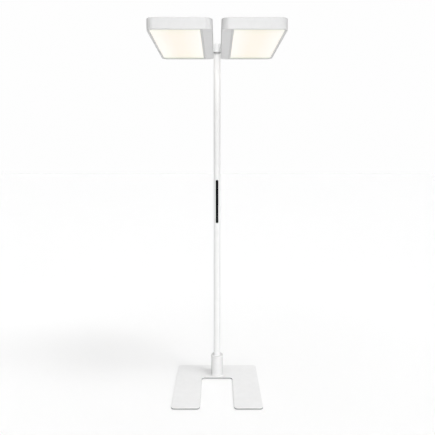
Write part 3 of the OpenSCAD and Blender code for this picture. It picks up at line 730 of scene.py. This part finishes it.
def head_openings():
    """Corners and corner radii of the window and of the band's channel in the right head."""
    low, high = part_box("right_shell")
    rib_x = low.x + WALL + BAND
    rim = WALL + BEZEL
    pane_r, channel_r = HEAD_CORNER - rim, HEAD_CORNER - WALL
    pane = (
        (rib_x + rim, low.y + rim), (high.x - rim, high.y - rim),
        [WINDOW_IN_R, pane_r, pane_r, WINDOW_IN_R],
    )
    channel = (
        (low.x + WALL, low.y + WALL), (rib_x, high.y - WALL), [channel_r, 0.0, 0.0, channel_r]
    )
    return pane, channel


def build_housing(side, flip):
    """The housing's walls and top, and the opal cover that lies in the top's window."""
    low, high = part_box("right_shell")
    cover_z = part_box("right_up_cover")[0].z
    wall = outline_of("shell", [HEAD_CORNER] * 4)
    window = outline_of("up_cover", [UPPER_R] * 4)
    panel_z = high.z - PANEL
    stations = [
        (wall(WALL), panel_z), (wall(WALL), low.z), (wall(SEAM), low.z), (wall(0.0), low.z + SEAM),
        *rounded_rim(wall, CROWN, high.z, CROWN_STEPS),
        (window(-2 * UPPER_GAP), high.z), (window(-UPPER_GAP), high.z - UPPER_GAP),
        (window(-UPPER_GAP), cover_z), (window(UPPER_LAP - UPPER_GAP), cover_z),
        (window(UPPER_LAP - UPPER_GAP), panel_z),
    ]
    place(f"{side}_housing", loft(stations, ring=True), HEADS, "head_coat", f"{side}_shell", flip)

    cover = [
        (window(0.0), cover_z), (window(0.0), high.z - UPPER_EDGE), (window(UPPER_EDGE), high.z)
    ]
    place(
        f"{side}_upper_window", loft(cover), HEADS, "up_opal", f"{side}_up_cover", flip,
        look=f"up_opal_{side}",
    )


def build_window_frame(side, flip):
    """The thin frame that caps the housing from below, open at the window and at the band."""
    seat_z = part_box("right_shell")[0].z
    low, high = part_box("right_bezel")
    wall = outline_of("shell", [HEAD_CORNER] * 4)
    stations = [
        (wall(BEZEL_EDGE), low.z), (wall(0.0), low.z + BEZEL_EDGE), (wall(0.0), seat_z - SEAM),
        (wall(SEAM), seat_z), (wall(WALL + FIT), seat_z), (wall(WALL + FIT), high.z),
    ]
    surround = place(
        f"{side}_window_frame", loft(stations), HEADS, "bezel_grey", f"{side}_bezel", flip
    )
    for opening in head_openings():
        wide, narrow = inset_loop(*opening, -BEZEL_EDGE), inset_loop(*opening, 0.0)
        cutter = loft([
            (wide, low.z - CLEAR), (wide, low.z), (narrow, low.z + BEZEL_EDGE),
            (narrow, high.z + CLEAR),
        ])
        if flip:
            mirror(cutter)
        carve(surround, cutter)


def build_panels(side, flip):
    """The lit window and the plain band beside it."""
    low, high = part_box("right_diffuser")
    outer_r = HEAD_CORNER - WALL - PLATE_GAP
    plate = outline_of("diffuser", [PLATE_IN_R, outer_r, outer_r, PLATE_IN_R])(0.0)
    place(
        f"{side}_light_window", loft([(plate, low.z), (plate, high.z)]), HEADS, "opal",
        f"{side}_diffuser", flip, look=f"opal_{side}",
    )

    _, channel = head_openings()
    band_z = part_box("right_band_cover")[0].z
    wide, narrow = inset_loop(*channel, BAND_GAP), inset_loop(*channel, BAND_GAP + BAND_EDGE)
    band = [(wide, band_z + BAND_T), (wide, band_z + BAND_EDGE), (narrow, band_z)]
    place(f"{side}_band", loft(band), HEADS, "band_white", f"{side}_band_cover", flip)


def build_heads():
    """Both heads, and the light of their panels, which depends on where each panel lies."""
    low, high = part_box("right_diffuser")
    middle = (low + high) / 2
    reach = ((high.x - low.x) / 2, (high.y - low.y) / 2)
    for side, sign in SIDES.items():
        at = (sign * middle.x, middle.y)
        for slot, glow in (("opal", DOWN_GLOW), ("up_opal", UP_GLOW)):
            MATERIALS[f"{slot}_{side}"] = opal(f"{slot}_{side}", *glow, reach, at)
        for build in (build_housing, build_window_frame, build_panels):
            build(side, sign < 0)


def dress_nodes():
    """Gives every CAD node that still shows its material."""
    slots = {row["node"]: row["material_slot"] for row in frame["record"]["subparts"]}
    for name, obj in frame["nodes"].items():
        look = NODE_LOOKS.get(name, slots[name])
        if look in ("opal", "up_opal"):
            look = f"{look}_{name.split('_')[0]}"
        obj.data.materials.clear()
        obj.data.materials.append(MATERIALS[look])


# ----------------------------------------------------------------------- stage


def build_floor():
    """A plain pale floor, lifted a little by its own light so that it stays as pale as the
    backdrop. Its bounce doesn't reach the lamp: the studio's light from below stands for it."""
    bm = bmesh.new()
    bmesh.ops.create_grid(bm, x_segments=2, y_segments=2, size=FLOOR_SIZE)
    floor = new_object("studio_floor", bm)
    mat, tree, shader = new_material("studio_floor")
    pale = tones(tree, noise(tree, 0.8), (FLOOR_WHITE,) * 3, 0.005)
    tree.links.new(pale, shader.inputs["Base Color"])
    shader.inputs["Roughness"].default_value = 0.9
    shader.inputs["Specular IOR Level"].default_value = 0.1
    shader.inputs["Emission Color"].default_value = (1.0, 1.0, 1.0, 1.0)
    shader.inputs["Emission Strength"].default_value = FLOOR_GLOW
    floor.data.materials.append(mat)
    floor.visible_diffuse = False


def build_backdrop():
    """A white dome that only the camera sees: it lights nothing and shows in no reflection."""
    bm = bmesh.new()
    bmesh.ops.create_uvsphere(bm, u_segments=48, v_segments=24, radius=BACKDROP_SIZE)
    dome = new_object("studio_backdrop", bm)
    mat, _, shader = new_material("studio_backdrop")
    shader.inputs["Base Color"].default_value = (0.0, 0.0, 0.0, 1.0)
    shader.inputs["Specular IOR Level"].default_value = 0.0
    shader.inputs["Emission Color"].default_value = (1.0, 1.0, 1.0, 1.0)
    shader.inputs["Emission Strength"].default_value = BACKDROP_GLOW
    dome.data.materials.append(mat)
    dome.visible_diffuse = False
    dome.visible_glossy = False
    dome.visible_transmission = False
    dome.visible_shadow = False


def add_sun(name, towards, strength, spread):
    """A far soft light from a direction, with the brightness that it gives a white face square
    to it, and its spread in degrees."""
    sun = bpy.data.lights.new(name, "SUN")
    sun.energy = strength * math.pi
    sun.angle = math.radians(spread)
    lamp = bpy.data.objects.new(name, sun)
    bpy.context.scene.collection.objects.link(lamp)
    lamp.rotation_euler = Vector(towards).to_track_quat("Z", "Y").to_euler()


def build_light():
    """Faint light from the room, stronger light from below as off a pale floor, broad front and
    overhead light, and a tall key light to the right of the camera: a leaning column of suns,
    whose shadows smear into one soft shadow behind the lamp."""
    world = bpy.data.worlds.new("studio")
    bpy.context.scene.world = world
    world.use_nodes = True
    tree = world.node_tree
    coords = tree.nodes.new("ShaderNodeTexCoord")
    split = tree.nodes.new("ShaderNodeSeparateXYZ")
    tree.links.new(coords.outputs["Generated"], split.inputs["Vector"])
    stops = [(0.0, (LIGHT_FROM_BELOW,) * 3), (HORIZON_BLEND, (ROOM_LIGHT,) * 3)]
    sky = ramp(tree, split.outputs["Z"], stops)
    tree.links.new(sky, tree.nodes["Background"].inputs["Color"])
    for height, bearing, strength in KEY_SUNS:
        side, rise = math.radians(bearing), math.tan(math.radians(height))
        add_sun(f"key_{height}", (math.cos(side), -math.sin(side), rise), strength, KEY_SPREAD)
    for name, (towards, strength, spread) in BROAD_SUNS.items():
        add_sun(name, towards, strength, spread)


def build_camera():
    """The camera, in front of the lamp and a little above the pole's middle."""
    data = bpy.data.cameras.new("camera")
    data.sensor_width = SENSOR_MM
    data.lens = SENSOR_MM * FOCAL_PX / IMAGE_PX
    data.shift_x = (IMAGE_PX / 2 - CENTRE_PX) / IMAGE_PX
    data.shift_y = -SHIFT_PX / IMAGE_PX
    data.clip_end = SIGHT
    camera = bpy.data.objects.new("camera", data)
    camera.location = CAMERA_AT
    camera.rotation_euler = (math.radians(90.0 - TILT_DEG), 0.0, 0.0)
    bpy.context.scene.collection.objects.link(camera)
    bpy.context.scene.camera = camera
    bpy.context.scene.view_settings.view_transform = "Standard"


build_camera()
build_floor()
build_backdrop()
build_light()
build_base()
build_foot()
build_pole()
build_strip()
build_hub()
build_heads()
build_gland()
dress_nodes()
